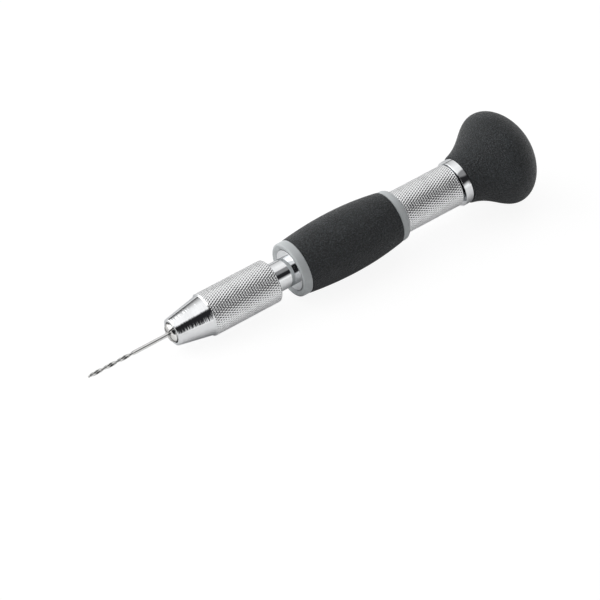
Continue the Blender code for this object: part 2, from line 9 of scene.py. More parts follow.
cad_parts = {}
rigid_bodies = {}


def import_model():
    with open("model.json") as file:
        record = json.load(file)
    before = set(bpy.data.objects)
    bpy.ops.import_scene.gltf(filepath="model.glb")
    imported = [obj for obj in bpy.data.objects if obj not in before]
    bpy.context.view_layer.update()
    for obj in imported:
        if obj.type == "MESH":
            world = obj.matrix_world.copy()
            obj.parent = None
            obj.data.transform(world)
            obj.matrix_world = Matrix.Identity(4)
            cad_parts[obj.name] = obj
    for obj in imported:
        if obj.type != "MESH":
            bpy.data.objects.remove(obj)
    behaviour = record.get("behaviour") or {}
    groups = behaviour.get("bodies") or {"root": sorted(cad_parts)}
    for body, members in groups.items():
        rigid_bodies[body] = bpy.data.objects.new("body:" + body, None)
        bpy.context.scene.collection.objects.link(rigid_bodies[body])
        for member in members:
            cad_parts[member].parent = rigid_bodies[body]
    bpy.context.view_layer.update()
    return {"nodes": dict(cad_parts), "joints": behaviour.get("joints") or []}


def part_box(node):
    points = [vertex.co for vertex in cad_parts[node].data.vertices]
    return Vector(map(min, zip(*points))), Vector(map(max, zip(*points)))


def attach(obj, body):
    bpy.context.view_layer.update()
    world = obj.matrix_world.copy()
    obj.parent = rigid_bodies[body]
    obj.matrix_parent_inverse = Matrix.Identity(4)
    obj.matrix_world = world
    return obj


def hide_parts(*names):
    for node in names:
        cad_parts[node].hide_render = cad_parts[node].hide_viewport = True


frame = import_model()

# Spindle: one turned steel bar, polished and chromed. Its thread carries the chuck cap, its shank shows
# between the cap and the grip, and its shoulder is the mirror-like disc inside the grip's front ring.
# Lengths are in millimetres from the front face of the chuck cap, and outlines are (length, radius) pairs.
mm = 0.001
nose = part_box("chuck_cap")[0].x
spindle_bore = [(20.4, 0), (20.4, 2.556), (6.4, 2.556), (6.4, 3.05)]
thread_front = 6.6
thread_rear = 21.9
thread_core = 3.206
thread_height = 0.24
thread_pitch = 0.75
thread_run_out = 0.75
thread_steps = 4
fillet_steps = 6
round_sides = 128
sharp_edge = math.radians(30)


def rounded(*corners, steps=fillet_steps):
    """Outline points through corners. A corner with a third value is rounded off to that radius."""
    points = []
    for index, corner in enumerate(corners):
        here = Vector(corner[:2])
        if len(corner) == 2:
            points.append(tuple(here))
            continue
        back = (Vector(corners[index - 1][:2]) - here).normalized()
        on = (Vector(corners[(index + 1) % len(corners)][:2]) - here).normalized()
        half_angle = back.angle(on) / 2
        reach = corner[2] / math.tan(half_angle)
        centre = here + (back + on).normalized() * corner[2] / math.sin(half_angle)
        first = here + back * reach - centre
        last = here + on * reach - centre
        for step in range(steps + 1):
            points.append(tuple(centre + corner[2] * first.slerp(last, step / steps)))
    return points


def ring(bm, start, along, radius, sides):
    """A ring of vertices round the axis, or one vertex on it. radius may be a function of the angle."""
    x = start + along * mm
    if radius == 0:
        return [bm.verts.new((x, 0, 0))]
    made = []
    for side in range(sides):
        angle = math.tau * side / sides
        reach = mm * (radius(angle) if callable(radius) else radius)
        made.append(bm.verts.new((x, reach * math.cos(angle), reach * math.sin(angle))))
    return made


def bridged(bm, one, other):
    """Faces between two rings of as many vertices, or between a ring and a vertex on the axis."""
    sides = max(len(one), len(other))
    for side in range(sides):
        beside = (side + 1) % sides
        corners = []
        for end, order in ((one, (side, beside)), (other, (beside, side))):
            corners += [end[spot] for spot in order] if len(end) > 1 else end
        if len(corners) > 2:
            bm.faces.new(corners)


def spun(bm, outline, sides=round_sides, start=nose, closed=True):
    """An outline turned about the axis, as on a lathe. Returns its rings."""
    rings = [ring(bm, start, along, radius, sides) for along, radius in outline]
    for one, other in zip(rings, rings[1:]):
        bridged(bm, one, other)
    if closed:
        bridged(bm, rings[-1], rings[0])
    return rings


def thread_radius(along):
    """The radius of a right-hand thread round the bar at one length, fading out at both ends."""
    fade = min(1.0, (along - thread_front) / thread_run_out, (thread_rear - along) / thread_run_out)

    def radius(angle):
        turn = (along / thread_pitch - angle / math.tau) % 1.0
        return thread_core + thread_height * max(0.0, fade) * (1 - abs(2 * turn - 1))

    return radius


def finished(name, bm, *materials, sharp=sharp_edge):
    """A piece of the tool from its bmesh, smooth apart from its real edges."""
    bmesh.ops.recalc_face_normals(bm, faces=bm.faces)
    mesh = bpy.data.meshes.new(name)
    bm.to_mesh(mesh)
    bm.free()
    for material in materials:
        mesh.materials.append(material)
    mesh.shade_smooth()
    mesh.set_sharp_from_angle(angle=sharp)
    piece = bpy.data.objects.new(name, mesh)
    bpy.context.scene.collection.objects.link(piece)
    return piece


def put(tree, kind, inputs=None, **settings):
    """Add a node. inputs maps a socket's name or number to a value or to another node's output."""
    made = tree.nodes.new("ShaderNode" + kind)
    for name, value in settings.items():
        setattr(made, name, value)
    for socket, value in (inputs or {}).items():
        if isinstance(value, bpy.types.NodeSocket):
            tree.links.new(value, made.inputs[socket])
        else:
            made.inputs[socket].default_value = value
    return made


def sums(tree, operation, *values):
    """The result of one Math node."""
    return put(tree, "Math", dict(enumerate(values)), operation=operation).outputs[0]


def between(tree, mask, low, high):
    """A mask from 0 to 1, spread from low to high."""
    return put(tree, "MapRange", {"Value": mask, "To Min": low, "To Max": high}).outputs[0]


def tinted(tree, mask, *stops):
    """Colours along a mask. Each stop is (place, red, green, blue)."""
    made = put(tree, "ValToRGB", {0: mask})
    line = made.color_ramp.elements
    for index, (place, *colour) in enumerate(stops):
        stop = line[index] if index < len(line) else line.new(place)
        stop.position = place
        stop.color = (*colour, 1.0)
    return made.outputs["Color"]


def effect(name, inputs, outputs):
    """An empty node group of plain numbers. Returns it with its input and output nodes."""
    tree = bpy.data.node_groups.new(name, "ShaderNodeTree")
    for socket, value in inputs.items():
        made = tree.interface.new_socket(socket, in_out="INPUT", socket_type="NodeSocketFloat")
        made.default_value = value
    for socket in outputs:
        tree.interface.new_socket(socket, in_out="OUTPUT", socket_type="NodeSocketFloat")
    return tree, tree.nodes.new("NodeGroupInput"), tree.nodes.new("NodeGroupOutput")


def placed(tree, shared, **values):
    """A node group with its own values in a material. Returns its outputs."""
    made = tree.nodes.new("ShaderNodeGroup")
    made.node_tree = shared
    for socket, value in values.items():
        made.inputs[socket].default_value = value
    return made.outputs


def bare_material(name, metallic):
    """A new material. Returns it with its node tree and its shader."""
    material = bpy.data.materials.new(name)
    material.use_nodes = True
    tree = material.node_tree
    shader = tree.nodes["Principled BSDF"]
    shader.inputs["Metallic"].default_value = metallic
    return material, tree, shader


def dressed(tree, shader, colour, roughness, height, depth):
    """Feed a shader its colour, its roughness and the relief of its skin, which is depth metres high."""
    bump = put(tree, "Bump", {"Height": height, "Distance": depth})
    tree.links.new(colour, shader.inputs["Base Color"])
    tree.links.new(roughness, shader.inputs["Roughness"])
    tree.links.new(bump.outputs[0], shader.inputs["Normal"])


lathe_marks, marks_in, marks_out = effect("lathe marks", {"Spacing": 0.0005}, ("Height", "Streak"))
lathe_spot = put(lathe_marks, "TexCoord").outputs["Object"]
lathe_parts = put(lathe_marks, "SeparateXYZ", {0: lathe_spot}).outputs
lathe_across = put(lathe_marks, "CombineXYZ", {1: lathe_parts[1], 2: lathe_parts[2]}).outputs[0]
lathe_radius = put(lathe_marks, "VectorMath", {0: lathe_across}, operation="LENGTH").outputs["Value"]
lathe_feed = sums(lathe_marks, "ADD", lathe_parts[0], lathe_radius)
lathe_turns = sums(lathe_marks, "DIVIDE", lathe_feed, marks_in.outputs["Spacing"])
tool_marks = {"W": lathe_turns, "Scale": 1.0, "Detail": 1.5, "Roughness": 0.55}
lathe_height = put(lathe_marks, "TexNoise", tool_marks, noise_dimensions="1D").outputs[0]
tool_streaks = {"W": lathe_turns, "Scale": 0.41, "Detail": 2.0, "Roughness": 0.6}
lathe_streak = put(lathe_marks, "TexNoise", tool_streaks, noise_dimensions="1D").outputs[0]
lathe_marks.links.new(lathe_height, marks_out.inputs["Height"])
lathe_marks.links.new(lathe_streak, marks_out.inputs["Streak"])

handling_haze, haze_in, haze_out = effect("handling haze", {"Size": 0.004}, ("Haze",))
haze_spot = put(handling_haze, "TexCoord").outputs["Object"]
haze_scale = sums(handling_haze, "DIVIDE", 1.0, haze_in.outputs["Size"])
smudge_inputs = {"Vector": haze_spot, "Scale": haze_scale, "Detail": 4.0, "Roughness": 0.62}
haze_smudge = put(handling_haze, "TexNoise", smudge_inputs).outputs[0]
haze_range = {"Value": haze_smudge, "From Min": 0.42, "From Max": 0.72}
haze_mask = put(handling_haze, "MapRange", haze_range, interpolation_type="SMOOTHSTEP").outputs[0]
handling_haze.links.new(haze_mask, haze_out.inputs["Haze"])


def chrome(name, spacing, depth, polish):
    """Bright chrome with the marks of the lathe under it and a little haze from handling on it."""
    clean = (0.80, 0.81, 0.82)
    hazy = (0.74, 0.75, 0.76)
    grazing_tint = (0.6, 0.61, 0.62, 1.0)
    haze_size = 0.0035
    haze_dulling = 0.05
    smooth_streak = 0.7
    rough_streak = 1.4
    material, tree, shader = bare_material(name, metallic=1.0)
    shader.inputs["Specular Tint"].default_value = grazing_tint
    marks = placed(tree, lathe_marks, Spacing=spacing)
    haze = placed(tree, handling_haze, Size=haze_size)["Haze"]
    colour = tinted(tree, haze, (0.0, *clean), (1.0, *hazy))
    hazed = between(tree, haze, polish, polish + haze_dulling)
    streaked = between(tree, marks["Streak"], smooth_streak, rough_streak)
    roughness = sums(tree, "MULTIPLY", hazed, streaked)
    dressed(tree, shader, colour, roughness, marks["Height"], depth)
    return material


bm = bmesh.new()
rings = spun(bm, spindle_bore, closed=False)
turns = (thread_rear - thread_front) / thread_pitch
for step in range(round(turns * thread_steps) + 1):
    along = min(thread_rear, thread_front + step * thread_pitch / thread_steps)
    rings.append(ring(bm, nose, along, thread_radius(along), round_sides))
    bridged(bm, rings[-2], rings[-1])
shank = rounded(
    (22.2, thread_core),
    (22.2, 3.706, 0.15),
    (34.12, 3.706),
    (34.12, 5.356, 0.06),
    (36.05, 5.356),
    (36.05, 4.0),
    (46.05, 4.0, 0.3),
    (46.05, 0),
)
rings += spun(bm, shank, closed=False)
bridged(bm, rings[-len(shank) - 1], rings[-len(shank)])
spindle_chrome = chrome("spindle chrome", spacing=0.0004, depth=0.0000006, polish=0.05)
spindle = finished("threaded_spindle", bm, spindle_chrome)
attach(spindle, "handle")
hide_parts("spindle")

# Handle tube: drawn steel tube, pressed over the spindle's tang and held in the grip. The part that shows
# behind the grip is diamond knurled: two crossing sets of grooves leave rows of small rounded diamonds.
knurl_starts = 51
knurl_pitch = 1.33
knurl_depth = 0.075
knurl_steps = 4
knurl_sharp = math.radians(15)
knurl_weld = 1e-7
tube_front = 66.26
tube_rear = 82.96
tube_radius = 5.6
tube_edge = 0.35
tube_trim = 0.20
tube_round_insets = (0.2, 0.27, 0.35)
tube_lip_insets = (0.08, 0.02)
tube_hidden_front = 36.13
tube_hidden_radius = 5.0
tube_bore = 4.06
tube_bore_rear = 70.96
tube_pin_hole = 2.06


def knurled_band(bm, front, rear, envelope, cuts):
    """A diamond knurl between two stations, trimmed to the turned envelope. Returns its two end loops."""
    crest = bm.verts.layers.float.new("crest")
    spots = {}

    def dip(count):
        """How far one groove's side lies below the diamonds' tops, as a share of the groove's depth."""
        return (1 - 2 * (count % knurl_steps) / knurl_steps) ** 2

    def spot(one, other):
        """The shared vertex at these counts of steps across the two sets of grooves."""
        key = (one % (knurl_starts * knurl_steps), one - other)
        if key not in spots:
            angle = math.tau * (one + other) / 2 / knurl_starts / knurl_steps
            along = front + knurl_pitch * (one - other) / 2 / knurl_steps
            fall = dip(one) + dip(other)
            reach = (envelope((front + rear) / 2) - fall * knurl_depth) * mm
            made = bm.verts.new((nose + along * mm, reach * math.cos(angle), reach * math.sin(angle)))
            made[crest] = 1 - fall / 2
            spots[key] = made
        return spots[key]

    rows = math.ceil(2 * (rear - front) / knurl_pitch) + 1
    for row in range(-knurl_steps, rows * knurl_steps):
        for start in range(knurl_starts * knurl_steps):
            other = start - row
            corners = (start, other), (start + 1, other), (start + 1, other + 1), (start, other + 1)
            bm.faces.new([spot(*corner) for corner in corners])
    for cut in (front, *cuts, rear):
        everything = bm.verts[:] + bm.edges[:] + bm.faces[:]
        away = -1 if cut == front else 1
        bmesh.ops.bisect_plane(
            bm,
            geom=everything,
            dist=knurl_weld,
            plane_co=(nose + cut * mm, 0, 0),
            plane_no=(away, 0, 0),
            clear_outer=cut in (front, rear),
        )
    for vert in bm.verts:
        reach = math.hypot(vert.co.y, vert.co.z)
        limit = envelope((vert.co.x - nose) / mm) * mm
        if reach > limit:
            vert.co.y *= limit / reach
            vert.co.z *= limit / reach
    bmesh.ops.remove_doubles(bm, verts=bm.verts, dist=knurl_weld)
    for face in bm.faces:
        face.material_index = 1
    ends = []
    for end in (front, rear):
        place = nose + end * mm
        ends.append([vert for vert in bm.verts if abs(vert.co.x - place) < knurl_weld])
    return ends


def zipped(bm, loop, plain):
    """Triangles between a knurl's end loop and a plain ring, matched by their angle round the axis."""

    def angle(vert):
        return math.atan2(vert.co.z, vert.co.y) % math.tau

    one = sorted(loop, key=angle)
    other = sorted(plain, key=angle)
    one_angles = [angle(vert) for vert in one] + [angle(one[0]) + math.tau]
    other_angles = [angle(vert) for vert in other] + [angle(other[0]) + math.tau]
    i = 0
    j = 0
    while i < len(one) or j < len(other):
        here = one[i % len(one)]
        there = other[j % len(other)]
        ahead = j == len(other) or (i < len(one) and one_angles[i + 1] <= other_angles[j + 1])
        if ahead:
            bm.faces.new((here, one[(i + 1) % len(one)], there))
            i += 1
        else:
            bm.faces.new((here, other[(j + 1) % len(other)], there))
            j += 1


def eased(radius, edge, inside):
    """A turned radius at some distance inside an end face whose edge is rounded off."""
    if inside >= edge:
        return radius
    return radius - edge + math.sqrt(max(0.0, edge**2 - (edge - inside) ** 2))


def tube_envelope(along):
    """The tube's turned radius, with both ends rounded off."""
    return eased(tube_radius, tube_edge, min(along - tube_front, tube_rear - along))


def knurled_chrome(name, crest_shine, groove_shine):
    """Satin chrome on a knurl: dull grooves and the tops in painted shade, a painted highlight on the sides.
    """
    painted_groove_shade = (0.44, 0.445, 0.45)
    low_side = (0.62, 0.625, 0.63)
    side_painted_highlight = (0.97, 0.975, 0.98)
    crown_painted_shade = (0.68, 0.69, 0.70)
    low_place = 0.44
    high_place = 0.70
    haze_size = 0.0025
    haze_wear = 0.25
    mark_spacing = 0.00012
    mark_depth = 0.0000008
    material, tree, shader = bare_material(name, metallic=1.0)
    crest = put(tree, "Attribute", attribute_name="crest").outputs["Fac"]
    haze = placed(tree, handling_haze, Size=haze_size)["Haze"]
    wear_and_shade = sums(tree, "SUBTRACT", crest, between(tree, haze, 0.0, haze_wear))
    sides = (low_place, *low_side), (high_place, *side_painted_highlight)
    # The crest ramp paints shade into the grooves and onto the tops, and a highlight onto the diamonds'
    # sides.
    colour = tinted(tree, wear_and_shade, (0.0, *painted_groove_shade), *sides, (1.0, *crown_painted_shade))
    roughness = between(tree, wear_and_shade, groove_shine, crest_shine)
    marks = placed(tree, lathe_marks, Spacing=mark_spacing)
    dressed(tree, shader, colour, roughness, marks["Height"], mark_depth)
    return material


bm = bmesh.new()
tube_cuts = [tube_front + inset for inset in tube_round_insets]
tube_cuts += [tube_rear - inset for inset in reversed(tube_round_insets)]
knurl_front = tube_front + tube_edge - tube_trim
knurl_rear = tube_rear - tube_edge + tube_trim
front_loop, rear_loop = knurled_band(bm, knurl_front, knurl_rear, tube_envelope, tube_cuts)
tube_plain = [(tube_front + inset, tube_envelope(tube_front + inset)) for inset in tube_lip_insets]
tube_plain += [
    (tube_front, tube_radius - tube_edge),
    (tube_front, tube_hidden_radius),
    (tube_hidden_front, tube_hidden_radius),
    (tube_hidden_front, tube_bore),
    (tube_bore_rear, tube_bore),
    (tube_bore_rear, tube_pin_hole),
    (tube_rear, tube_pin_hole),
    (tube_rear, tube_radius - tube_edge),
]
tube_plain += [(tube_rear - inset, tube_envelope(tube_rear - inset)) for inset in reversed(tube_lip_insets)]
rings = spun(bm, tube_plain, closed=False)
zipped(bm, front_loop, rings[0])
zipped(bm, rear_loop, rings[-1])
tube_chrome = chrome("tube chrome", spacing=0.0003, depth=0.000001, polish=0.12)
tube_knurl = knurled_chrome("tube knurl", crest_shine=0.05, groove_shine=0.12)
tube = finished("knurled_tube", bm, tube_chrome, tube_knurl, sharp=knurl_sharp)
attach(tube, "handle")
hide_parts("handle_tube")

# Grip core and rear ring: light grey plastic, injection moulded with a satin skin. The core runs through
# under the rubber and ends in the ring that shows in front. The rear ring is pressed on behind it.
core_outline = rounded(
    (34.25, 5.496),
    (33.5, 7.10, 0.5),
    (36.12, 7.10, 0.1),
    (36.12, 6.21),
    (63.7, 6.21),
    (63.7, 5.06),
    (36.13, 5.06),
    (36.13, 5.496),
)
rear_ring_outline = rounded((63.78, 5.06), (63.78, 6.73, 0.1), (66.18, 6.73, 1.3), (66.18, 5.06, 0.15))

pebble_share = 0.6
grain_level = 0.625
moulded_grain, grain_in, grain_out = effect("moulded grain", {"Size": 0.0004}, ("Height", "Speck"))
grain_spot = put(moulded_grain, "TexCoord").outputs["Object"]
grain_scale = sums(moulded_grain, "DIVIDE", 1.0, grain_in.outputs["Size"])
pebble_inputs = {"Vector": grain_spot, "Scale": grain_scale, "Randomness": 1.0}
grain_pebble = put(moulded_grain, "TexVoronoi", pebble_inputs, feature="F1").outputs["Distance"]
fine_inputs = {"Vector": grain_spot, "Scale": grain_scale, "Detail": 3.0, "Roughness": 0.7}
grain_fine = put(moulded_grain, "TexNoise", fine_inputs).outputs[0]
grain_round = sums(moulded_grain, "SUBTRACT", 1.0, grain_pebble)
grain_coarse = sums(moulded_grain, "MULTIPLY", grain_round, pebble_share)
grain_sum = sums(moulded_grain, "ADD", grain_coarse, grain_fine)
grain_height = sums(moulded_grain, "MULTIPLY", grain_sum, grain_level)
# Speck marks the tops of the grain, where the materials paint highlights.
speck_range = {"Value": grain_height, "From Min": 0.42, "From Max": 0.72}
grain_speck = put(moulded_grain, "MapRange", speck_range, interpolation_type="SMOOTHSTEP").outputs[0]
moulded_grain.links.new(grain_height, grain_out.inputs["Height"])
moulded_grain.links.new(grain_speck, grain_out.inputs["Speck"])


def satin_plastic(name, dark, light, grain, depth):
    """Moulded plastic: a fine even grain, its tops a little paler by a painted highlight, with faint rub
    marks.
    """
    haze_size = 0.006
    speck_share = 0.5
    haze_share = 0.5
    dull = 0.5
    shine = 0.36
    material, tree, shader = bare_material(name, metallic=0.0)
    skin = placed(tree, moulded_grain, Size=grain)
    haze = placed(tree, handling_haze, Size=haze_size)["Haze"]
    glint_specks = sums(tree, "MULTIPLY", skin["Speck"], speck_share)
    tone = sums(tree, "ADD", glint_specks, sums(tree, "MULTIPLY", haze, haze_share))
    # The light end is a painted highlight on the grain's tops, and the faint rub marks.
    colour = tinted(tree, tone, (0.0, *dark), (1.0, *light))
    roughness = between(tree, tone, dull, shine)
    dressed(tree, shader, colour, roughness, skin["Height"], depth)
    return material


grey_dark = (0.505, 0.53, 0.538)
grey_light = (0.585, 0.61, 0.618)
ring_grey = satin_plastic("ring grey plastic", grey_dark, grey_light, grain=0.00016, depth=0.000006)
bm = bmesh.new()
spun(bm, core_outline)
grip_core = finished("grip_core_and_ring", bm, ring_grey)
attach(grip_core, "handle")
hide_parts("grip_core")

bm = bmesh.new()
spun(bm, rear_ring_outline)
rear_ring = finished("rear_grey_ring", bm, ring_grey)
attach(rear_ring, "handle")
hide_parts("grip_rear_ring")

# Rubber barrel: charcoal thermoplastic rubber, moulded over the core and swelling to the middle of the grip.
# Its skin has a fine matte grain, with painted highlights as pale specks on the grain's tops.
barrel_front = 36.2
barrel_rear = 63.7
barrel_widest = 49.6
barrel_bore = 6.27
barrel_radii = (7.17, 8.10, 6.85)
barrel_edge = 0.25
barrel_steps = 14
rubber_grain = 0.00042
rubber_relief = 0.0006


def barrel_radius(along):
    """Falls away from the widest ring along a parabola to each end."""
    front_radius, widest_radius, rear_radius = barrel_radii
    if along < barrel_widest:
        share = (barrel_widest - along) / (barrel_widest - barrel_front)
        return widest_radius - (widest_radius - front_radius) * share**2
    share = (along - barrel_widest) / (barrel_rear - barrel_widest)
    return widest_radius - (widest_radius - rear_radius) * share**2


def charcoal_rubber(name):
    """Charcoal rubber: matte, with painted highlights as pale specks on the tops of its grain."""
    charcoal = (0.0074, 0.0094, 0.0107)
    pale_rub_and_glint = (0.042, 0.050, 0.056)
    haze_size = 0.007
    speck_share = 0.8
    haze_share = 0.2
    dull = 0.52
    shine = 0.36
    material, tree, shader = bare_material(name, metallic=0.0)
    skin = placed(tree, moulded_grain, Size=rubber_grain)
    haze = placed(tree, handling_haze, Size=haze_size)["Haze"]
    glint_specks = sums(tree, "MULTIPLY", skin["Speck"], speck_share)
    tone = sums(tree, "ADD", glint_specks, sums(tree, "MULTIPLY", haze, haze_share))
    # The pale end is a painted highlight on the grain's tops, and paler rub marks from handling.
    colour = tinted(tree, tone, (0.0, *charcoal), (1.0, *pale_rub_and_glint))
    roughness = between(tree, tone, dull, shine)
    dressed(tree, shader, colour, roughness, skin["Height"], rubber_relief)
    return material


barrel_side = []
for step in range(1, 2 * barrel_steps):
    along = barrel_front + (barrel_rear - barrel_front) * step / (2 * barrel_steps)
    barrel_side.append((along, barrel_radius(along)))
barrel_outline = rounded(
    (barrel_front, barrel_bore),
    (barrel_front, barrel_radii[0], barrel_edge),
    *barrel_side,
    (barrel_rear, barrel_radii[2], barrel_edge),
    (barrel_rear, barrel_bore),
)
bm = bmesh.new()
spun(bm, barrel_outline)
grip_rubber = charcoal_rubber("grip rubber")
barrel = finished("rubber_barrel", bm, grip_rubber)
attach(barrel, "handle")
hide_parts("grip_sleeve")

# Collet: spring steel, turned with a taper, a thin neck and a tail, and sawn crosswise into four jaws. It
# sits in the cone of the chuck cap, its tip stands out of the nose, and the cap draws it shut on the drill.
collet_front = -0.9
collet_bore = 0.56
collet_relief = 1.406
collet_relief_front = 11.0
collet_slots = 2
collet_slot_width = 0.32
collet_slot_rear = 13.5
collet_slot_turn = math.radians(24)
collet_sides = 96
saw_overrun = 1.0
saw_reach = 9.0
small_round_steps = 4
collet_outline = rounded(
    (collet_front, collet_bore, 0.12),
    (collet_front, 1.5, 0.12),
    (-0.74, 1.98),
    (-0.5, 2.28),
    (-0.2, 2.44),
    (0.1, 2.48),
    (1.5, 2.5),
    (5.1, 3.056),
    (6.0, 3.056, 0.15),
    (6.0, 2.106),
    (14.0, 2.106),
    (14.0, 2.456, 0.1),
    (20.0, 2.456, 0.2),
    (20.0, collet_relief),
    (collet_relief_front, collet_relief),
    (collet_relief_front, collet_bore),
    steps=small_round_steps,
)


def steel(name, dark, light, spacing, depth, rough, shine, painted_groove_shade=None):
    """Bare machined steel: fine tool marks, duller where handled, painted shade where a groove attribute is
    high.
    """
    grazing_tint = (0.3, 0.3, 0.3, 1.0)
    groove_shade = 0.3
    dark_streak = 0.2
    light_streak = 0.7
    haze_size = 0.002
    haze_dulling = 0.6
    material, tree, shader = bare_material(name, metallic=1.0)
    shader.inputs["Specular Tint"].default_value = grazing_tint
    marks = placed(tree, lathe_marks, Spacing=spacing)
    haze = placed(tree, handling_haze, Size=haze_size)["Haze"]
    tone = sums(tree, "MULTIPLY", marks["Streak"], between(tree, haze, 1.0, haze_dulling))
    # Painted shade: the colour darkens where the groove attribute is high.
    if painted_groove_shade:
        deep = put(tree, "Attribute", attribute_name=painted_groove_shade).outputs["Fac"]
        tone = sums(tree, "MULTIPLY", tone, between(tree, deep, 1.0, 0.0))
    deepest_shade = [groove_shade * channel for channel in dark]
    colour = tinted(tree, tone, (0.0, *deepest_shade), (dark_streak, *dark), (light_streak, *light))
    roughness = between(tree, tone, rough, shine)
    dressed(tree, shader, colour, roughness, marks["Height"], depth)
    return material


collet_steel = steel(
    "collet steel",
    dark=(0.70, 0.695, 0.68),
    light=(0.88, 0.875, 0.86),
    spacing=0.00015,
    depth=0.0000015,
    rough=0.14,
    shine=0.06,
)
bm = bmesh.new()
spun(bm, collet_outline, collet_sides)
collet = finished("split_collet", bm, collet_steel)
for slot in range(collet_slots):
    bm = bmesh.new()
    bmesh.ops.create_cube(bm, size=1.0)
    saw_front = collet_front - saw_overrun
    saw_size = Vector((collet_slot_rear - saw_front, saw_reach, collet_slot_width)) * mm
    bmesh.ops.scale(bm, vec=saw_size, verts=bm.verts)
    saw_turn = Matrix.Rotation(collet_slot_turn + slot * math.pi / collet_slots, 4, "X")
    saw_place = Matrix.Translation((nose + (collet_slot_rear + saw_front) / 2 * mm, 0, 0))
    bmesh.ops.transform(bm, matrix=saw_place @ saw_turn, verts=bm.verts)
    saw = finished(f"saw_blade_{slot}", bm, collet_steel)
    cut = collet.modifiers.new(f"saw slot {slot}", "BOOLEAN")
    cut.operation = "DIFFERENCE"
    cut.solver = "EXACT"
    cut.object = saw
sawn = bpy.data.meshes.new_from_object(collet.evaluated_get(bpy.context.evaluated_depsgraph_get()))
collet.modifiers.clear()
collet.data = sawn
sawn.name = "split_collet"
sawn.set_sharp_from_angle(angle=sharp_edge)
for slot in range(collet_slots):
    bpy.data.objects.remove(bpy.data.objects[f"saw_blade_{slot}"])
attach(collet, "collet")
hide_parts("collet")

# Chuck cap: turned steel, chromed. The cone in front is polished over its turning marks, and the sleeve
# behind it has the same diamond knurl as the tube. It screws onto the spindle and presses on the collet.
cap_knurl_front = 9.62
cap_cone_rear = (9.2, 5.186)
cap_rear = 28.4
cap_radius = 5.606
cap_edge = 0.55
cap_step_front = 9.50
cap_front_trim = 9.55
cap_front_cut = 9.585
cap_rear_cuts = (27.85, 27.93, 28.02)
cap_rear_trim = 28.10
cap_rear_insets = (0.0, 0.02, 0.08, 0.16, 0.23)


def cap_envelope(along):
    """The cap's turned radius: a small step up from the cone, a plain sleeve and a rounded rear edge."""
    if along < cap_knurl_front:
        return cap_radius - (cap_knurl_front - along)
    return eased(cap_radius, cap_edge, cap_rear - along)


bm = bmesh.new()
cap_cuts = (cap_front_cut, cap_knurl_front, *cap_rear_cuts)
front_loop, rear_loop = knurled_band(bm, cap_front_trim, cap_rear_trim, cap_envelope, cap_cuts)
cap_rear_round = [(cap_rear - inset, cap_envelope(cap_rear - inset)) for inset in cap_rear_insets]
cap_plain = rounded(
    (cap_step_front, cap_envelope(cap_step_front)),
    cap_cone_rear,
    (0, 3.45, 0.35),
    (0, 2.70, 0.1),
    (1.5, 2.70),
    (7.224, 3.506),
    (21.8, 3.506),
    (21.8, 3.806),
    (cap_rear, 3.806, 0.15),
    *cap_rear_round,
)
rings = spun(bm, cap_plain, closed=False)
zipped(bm, front_loop, rings[0])
zipped(bm, rear_loop, rings[-1])
cone_chrome = chrome("cone chrome", spacing=0.0005, depth=0.00004, polish=0.05)
cap_knurl = knurled_chrome("chuck knurl", crest_shine=0.05, groove_shine=0.12)
cap = finished("knurled_chuck", bm, cone_chrome, cap_knurl, sharp=knurl_sharp)
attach(cap, "chuck")
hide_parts("chuck_cap")

# Twist drill: 1 mm bright high-speed steel, ground all over, with two right-hand flutes that run out
# towards the plain shank and a ground point. Its shank sits in the collet.
drill_tip = -23.4
drill_length = 34.0
drill_radius = 0.5
drill_web = 0.18
drill_chisel = 0.05
drill_turn = math.radians(20)
drill_end_chamfer = 0.12
drill_end_taper = 0.8
flute_length = 13.0
flute_run_out = 1.6
flute_steepness = 1.3
flute_helix = math.radians(22.4)
flute_lead = math.tau * drill_radius / math.tan(flute_helix)
point_half_angle = math.radians(59)
point_length = drill_radius / math.tan(point_half_angle)
point_steps = 6
flute_steps = 56
drill_points = 36


def drill_section(bm, in_flute, distance):
    """One cross section of the drill, counted from its tip: two flutes, turned by the helix."""
    depth = min(1.0, max(0.0, (flute_length - distance) / flute_run_out))
    floor = drill_radius - (drill_radius - drill_web) * depth
    ground = drill_chisel + distance * math.tan(point_half_angle)
    twist = drill_turn + math.tau * min(distance, flute_length) / flute_lead
    section = []
    for index in range(drill_points):
        angle = math.tau * index / drill_points
        flute = floor + (drill_radius - floor) * flute_steepness * math.sin(angle) ** 2
        reach = min(drill_radius, flute, ground) * mm
        across = reach * math.cos(angle + twist)
        up = reach * math.sin(angle + twist)
        made = bm.verts.new((nose + (drill_tip + distance) * mm, across, up))
        made[in_flute] = min(1.0, max(0.0, (drill_radius - flute) / (drill_radius - drill_web)))
        section.append(made)
    return section


fluted = flute_length - point_length
flute_count = round(fluted / flute_lead * flute_steps)
distances = [point_length * step / point_steps for step in range(point_steps)]
distances += [point_length + fluted * step / flute_count for step in range(flute_count + 1)]
distances += [drill_length - drill_end_chamfer, drill_length]
bm = bmesh.new()
in_flute = bm.verts.layers.float.new("flute")
sections = [drill_section(bm, in_flute, distance) for distance in distances]
for vert in sections[-1]:
    vert.co.y *= drill_end_taper
    vert.co.z *= drill_end_taper
for one, other in zip(sections, sections[1:]):
    bridged(bm, one, other)
bm.faces.new(sections[0])
bm.faces.new(sections[-1])
# The drill's flutes get painted shade: the steel's colour darkens towards the bottom of each flute.
drill_steel = steel(
    "drill steel",
    dark=(0.58, 0.58, 0.57),
    light=(0.80, 0.80, 0.79),
    spacing=0.00009,
    depth=0.0000008,
    rough=0.06,
    shine=0.03,
    painted_groove_shade="flute",
)
drill = finished("twist_drill", bm, drill_steel)
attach(drill, "drill")
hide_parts("drill_bit")

